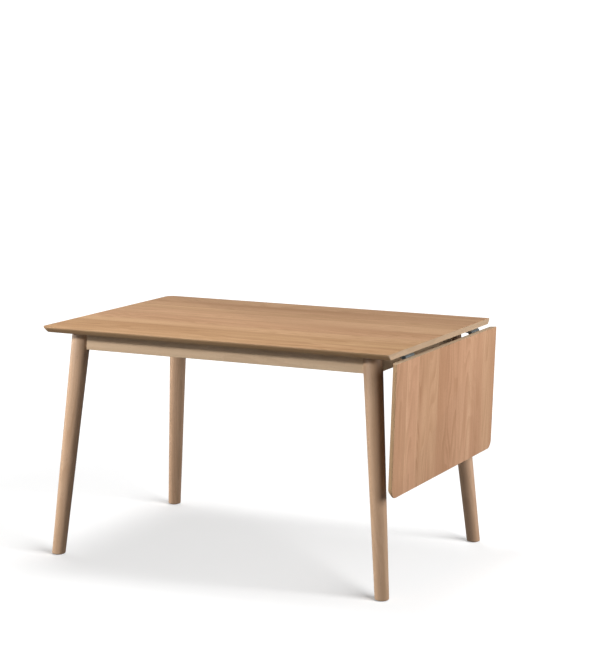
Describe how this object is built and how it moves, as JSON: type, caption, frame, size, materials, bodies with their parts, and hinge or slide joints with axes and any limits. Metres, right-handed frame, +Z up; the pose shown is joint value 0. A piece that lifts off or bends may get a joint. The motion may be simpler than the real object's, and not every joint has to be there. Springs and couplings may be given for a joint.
{
  "type": "drop-leaf dining table",
  "caption": "Rectangular oak dining table on splayed round tapered legs, with a drop leaf that hangs at one end on self-locking steel hinges.",
  "frame": {"origin": "on the floor, under the middle of the table's whole box with the leaf hanging", "axes": "+X along the length towards the hanging leaf, +Y across the width towards the back, +Z up"},
  "size_m": [1.225, 0.8, 0.74],
  "materials": {
    "veneer": "oak face veneer, oiled, grain along the length",
    "solid_oak": "solid oak, oiled, satin",
    "board_core": "board core, veneered underneath",
    "frame_wood": "plain inner hardwood, unfinished",
    "hinge_steel": "blue-grey zinc plate",
    "zinc_steel": "bright zinc plate",
    "glide": "dark felt-faced plastic"
  },
  "bodies": {
    "table": {"top_core": "board_core", "top_veneer": "veneer", "top_lipping_front": "solid_oak", "top_lipping_back": "solid_oak", "top_lipping_end": "solid_oak", "top_joint_band": "solid_oak", "apron_front": "solid_oak", "apron_back": "solid_oak", "apron_left": "solid_oak", "apron_right": "solid_oak", "cross_rail": "solid_oak", "leg_front_left": "solid_oak", "leg_front_right": "solid_oak", "leg_back_left": "solid_oak", "leg_back_right": "solid_oak", "glide_front_left": "glide", "glide_front_right": "glide", "glide_back_left": "glide", "glide_back_right": "glide", "corner_block_front_left": "frame_wood", "corner_block_front_right": "frame_wood", "corner_block_back_left": "frame_wood", "corner_block_back_right": "frame_wood", "dowels": "frame_wood", "hanger_bolts": "zinc_steel", "bolt_washers": "zinc_steel", "bolt_nuts": "zinc_steel", "top_brackets": "zinc_steel", "bracket_screws": "zinc_steel", "hinge_plate_front": "hinge_steel", "hinge_plate_back": "hinge_steel", "hinge_pin_front": "hinge_steel", "hinge_pin_back": "hinge_steel", "hinge_plate_screws": "hinge_steel", "lever_pin_front": "hinge_steel", "lever_pin_back": "hinge_steel", "lever_spring_front": "hinge_steel", "lever_spring_back": "hinge_steel"},
    "leaf": {"leaf_core": "board_core", "leaf_veneer": "veneer", "leaf_lipping_front": "solid_oak", "leaf_lipping_back": "solid_oak", "leaf_lipping_end": "solid_oak", "leaf_joint_band": "solid_oak", "hinge_flap_front": "hinge_steel", "hinge_flap_back": "hinge_steel", "hinge_flap_screws": "hinge_steel"},
    "lever_front": {"lock_lever_front": "hinge_steel"},
    "lever_back": {"lock_lever_back": "hinge_steel"}
  },
  "joints": [
    {"name": "leaf_fold", "type": "hinge", "parent": "table", "child": "leaf", "pos_m": [0.58752, 0, 0.715], "axis": [0, -1, 0], "range_deg": [0, 92]},
    {"name": "lever_front_press", "type": "hinge", "parent": "table", "child": "lever_front", "pos_m": [0.56652, -0.262, 0.7145], "axis": [0, 1, 0], "range_deg": [0, 8], "stiffness_Nm_per_rad": 0.1},
    {"name": "lever_back_press", "type": "hinge", "parent": "table", "child": "lever_back", "pos_m": [0.56652, 0.262, 0.7145], "axis": [0, 1, 0], "range_deg": [0, 8], "stiffness_Nm_per_rad": 0.1}
  ]
}
